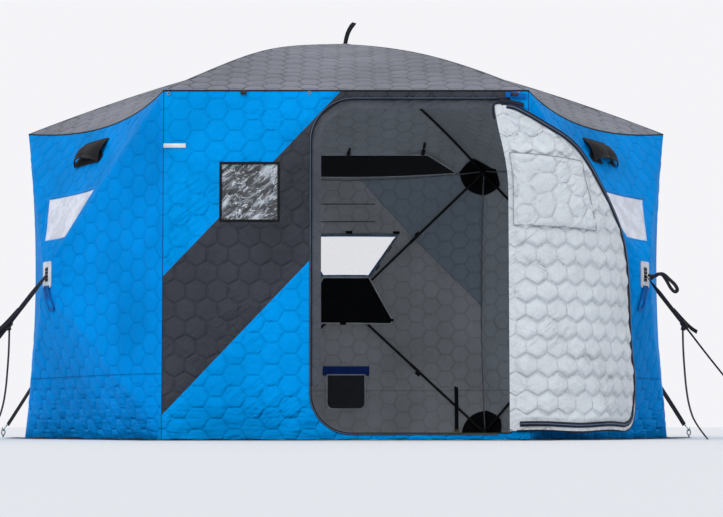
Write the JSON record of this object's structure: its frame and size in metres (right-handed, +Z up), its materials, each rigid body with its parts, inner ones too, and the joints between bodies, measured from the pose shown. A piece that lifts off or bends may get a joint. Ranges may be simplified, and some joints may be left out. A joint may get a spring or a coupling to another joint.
{
  "type": "six-sided hub ice fishing shelter",
  "caption": "Six-sided soft-walled ice fishing hut on sprung poles, with a swinging fabric door, vents, windows and guy straps to ice anchors.",
  "frame": {"origin": "on the ground under the middle of the whole outline, ice anchors included", "axes": "+Z up; the front wall with the door faces -Y, +X is to the right seen from the front"},
  "size_m": [4.3552, 4.2468, 2.392],
  "materials": {
    "blue_fabric": "quilted coated polyester, satin",
    "dark_fabric": "quilted coated polyester, matt",
    "roof_fabric": "quilted coated polyester, matt",
    "lining_fabric": "quilted lining, matt",
    "door_lining": "quilted light lining, satin",
    "zip_tape": "woven tape with a zip coil",
    "window_film": "clear flexible film",
    "webbing": "woven webbing",
    "dark_mesh": "woven mesh",
    "pole": "fibreglass rod, satin",
    "hub_plastic": "moulded, satin",
    "plate_plastic": "stiff reinforced patch",
    "hook_wire": "coated wire",
    "anchor_steel": "zinc plated"
  },
  "bodies": {
    "shelter": {"corner_sockets": "hub_plastic", "door_surround": "lining_fabric", "door_zip": "zip_tape", "front_wall_blue_lower": "blue_fabric", "front_wall_blue_upper": "blue_fabric", "front_wall_dark_band": "dark_fabric", "front_wall_door_head": "dark_fabric", "front_wall_hinge_strip": "blue_fabric", "front_window_film": "window_film", "front_window_frame": "dark_fabric", "gear_net": "dark_mesh", "ground_anchors": "anchor_steel", "ground_skirt": "dark_fabric", "hub_plates": "plate_plastic", "hub_pull_loops": "webbing", "lining_tie_strap": "webbing", "roof_back": "roof_fabric", "roof_back_left": "roof_fabric", "roof_back_right": "roof_fabric", "roof_front": "roof_fabric", "roof_front_left": "roof_fabric", "roof_front_right": "roof_fabric", "roof_hub": "hub_plastic", "roof_peak_patch": "roof_fabric", "roof_poles": "pole", "roof_pull_loop": "webbing", "stay_buckles": "hub_plastic", "stay_hooks": "hook_wire", "stay_straps": "webbing", "stay_tail_left": "webbing", "stay_tail_right": "webbing", "vent_hoods": "dark_fabric", "wall_back": "blue_fabric", "wall_back_left": "blue_fabric", "wall_back_right": "blue_fabric", "wall_front_left": "blue_fabric", "wall_front_right": "blue_fabric", "wall_hubs": "hub_plastic", "wall_pocket": "dark_mesh", "wall_poles": "pole", "wall_window_panes": "window_film", "window_blackout_flap": "dark_fabric"},
    "door": {"door_leaf": "door_lining", "door_leaf_binding": "zip_tape", "door_leaf_window_flap": "door_lining"}
  },
  "joints": [
    {"name": "door_swing", "type": "hinge", "parent": "shelter", "child": "door", "pos_m": [0.81, -1.98336, 0.045], "axis": [0, 0, 1], "range_deg": [-217, 0]}
  ]
}
